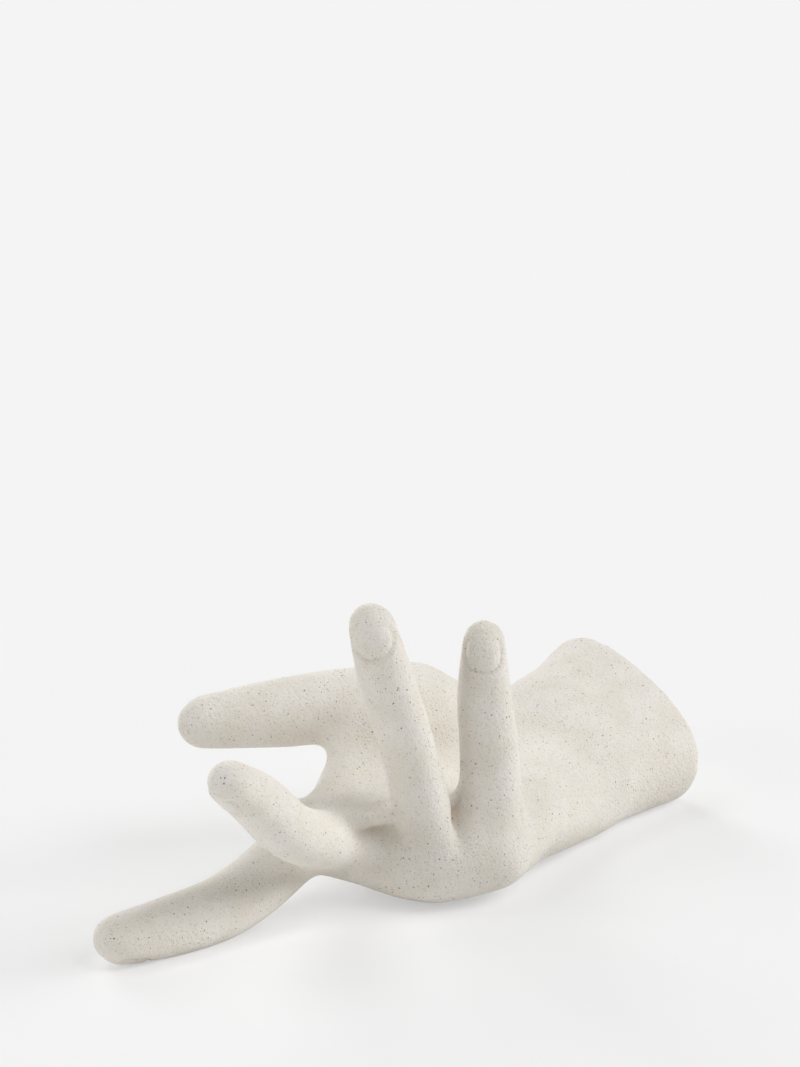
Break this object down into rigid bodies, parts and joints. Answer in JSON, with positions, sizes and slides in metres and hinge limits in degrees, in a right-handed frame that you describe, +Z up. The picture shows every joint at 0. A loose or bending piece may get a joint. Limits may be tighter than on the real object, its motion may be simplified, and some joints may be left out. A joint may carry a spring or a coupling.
{
  "type": "hand jewelry stand",
  "caption": "Life-size open right hand cast in one piece, lying on its back, with fingers standing up and spread to hold rings and bracelets.",
  "frame": {"origin": "middle of the bounding box in plan, on the surface that the hand lies on", "axes": "+X from the fingertips towards the wrist, +Y towards the thumb side, +Z up out of the palm"},
  "size_m": [0.2172, 0.1062, 0.0941],
  "materials": {
    "cast_body": "matte, fine sandy grain with sparse dark specks"
  },
  "bodies": {
    "root": {"hand": "cast_body"}
  },
  "joints": []
}
